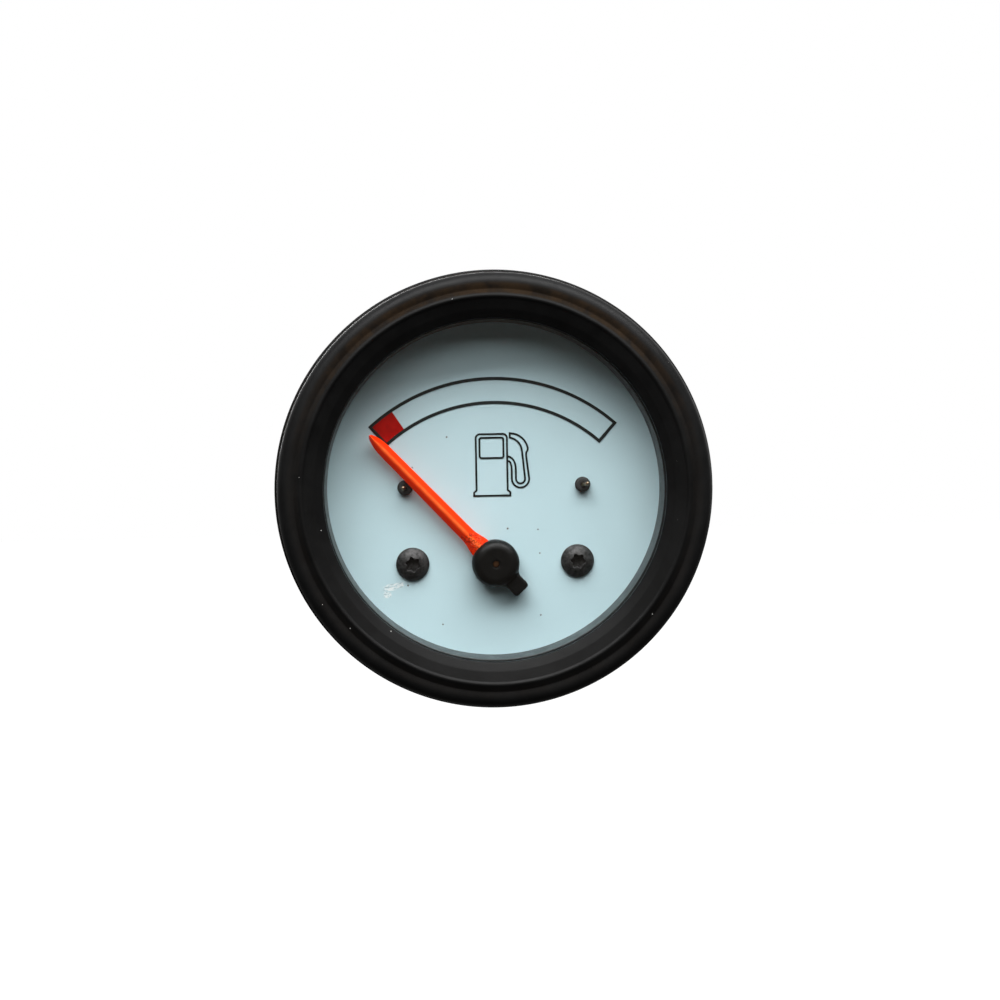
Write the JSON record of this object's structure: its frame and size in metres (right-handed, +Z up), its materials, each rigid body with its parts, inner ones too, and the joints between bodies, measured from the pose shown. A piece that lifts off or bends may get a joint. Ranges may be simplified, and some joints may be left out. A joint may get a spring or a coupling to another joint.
{
  "type": "fuel gauge",
  "caption": "Round dashboard fuel gauge: black formed ring, flat glass, white dial with scale arc and pump symbol, orange pointer, steel case and clamp bracket.",
  "frame": {"origin": "on the case's axis, in the plane of the panel's front face", "axes": "the dial faces -Y, +Z is up and +Y runs back through the panel"},
  "size_m": [0.06, 0.0609, 0.06],
  "materials": {
    "bezel_black": "satin black lacquer",
    "clear_glass": "polished",
    "black_rubber": "matte",
    "shroud_grey": "matte",
    "dial_white": "matte pale cool white",
    "ink_black": "printed",
    "ink_red": "printed",
    "blackened_steel": "blackened",
    "brass": "satin",
    "pointer_orange": "satin fluorescent orange red",
    "hub_black": "satin",
    "magnet_grey": "pressed",
    "former_cream": "moulded",
    "copper_wire": "enamelled wire",
    "zinc_steel": "zinc plated",
    "board_green": "lacquered",
    "resistor_body": "lacquered",
    "phenolic_brown": "laminate",
    "rivet_metal": "satin",
    "holder_cream": "moulded",
    "bulb_glass": "clear"
  },
  "bodies": {
    "gauge_body": {"front_bezel": "bezel_black", "lens_glass": "clear_glass", "lens_gasket": "black_rubber", "panel_gasket": "black_rubber", "dial_shroud": "shroud_grey", "dial_plate": "dial_white", "scale_print": "ink_black", "red_zone_print": "ink_red", "pump_symbol_print": "ink_black", "dial_screws": "blackened_steel", "stop_pins": "brass", "pin_sleeves": "black_rubber", "former_front": "former_cream", "former_rear": "former_cream", "shaft_bushes": "brass", "coil_inner": "copper_wire", "coil_outer": "copper_wire", "shield_ring": "zinc_steel", "coil_pins": "brass", "circuit_board": "board_green", "resistors": "resistor_body", "case_shell": "zinc_steel", "clamp_studs": "zinc_steel", "spacer_tubes": "zinc_steel", "stud_washers": "zinc_steel", "stud_nuts": "zinc_steel", "terminal_board": "phenolic_brown", "terminal_blades": "brass", "board_rivets": "rivet_metal"},
    "pointer": {"pointer_arm": "pointer_orange", "pointer_hub": "hub_black", "pointer_shaft": "brass", "rotor_magnet": "magnet_grey"},
    "bracket": {"mounting_bracket": "zinc_steel", "bracket_washers": "zinc_steel"},
    "nut_left": {"knurled_nut_left": "brass"},
    "nut_right": {"knurled_nut_right": "brass"},
    "lamp": {"lamp_holder": "holder_cream", "lamp_contacts": "brass", "bulb_cap": "holder_cream", "bulb_glass": "bulb_glass"}
  },
  "joints": [
    {"name": "pointer_turn", "type": "hinge", "parent": "gauge_body", "child": "pointer", "pos_m": [0, 0, -0.01015], "axis": [0, 1, 0], "range_deg": [0, 87]},
    {"name": "bracket_slide", "type": "slide", "parent": "gauge_body", "child": "bracket", "axis": [0, 1, 0], "range_m": [-0.005, 0.002]},
    {"name": "nut_left_turn", "type": "hinge", "parent": "bracket", "child": "nut_left", "pos_m": [-0.016, 0.048, 0], "axis": [0, 1, 0], "range_deg": [-2572, 1029]},
    {"name": "nut_right_turn", "type": "hinge", "parent": "bracket", "child": "nut_right", "pos_m": [0.016, 0.048, 0], "axis": [0, 1, 0], "range_deg": [-2572, 1029]},
    {"name": "lamp_pull", "type": "slide", "parent": "gauge_body", "child": "lamp", "axis": [0, 1, 0], "range_m": [0, 0.025]}
  ],
  "couplings": [
    {"joint": "nut_left_turn", "follows": "bracket_slide", "rad_per_m": 8976},
    {"joint": "nut_right_turn", "follows": "bracket_slide", "rad_per_m": 8976}
  ]
}
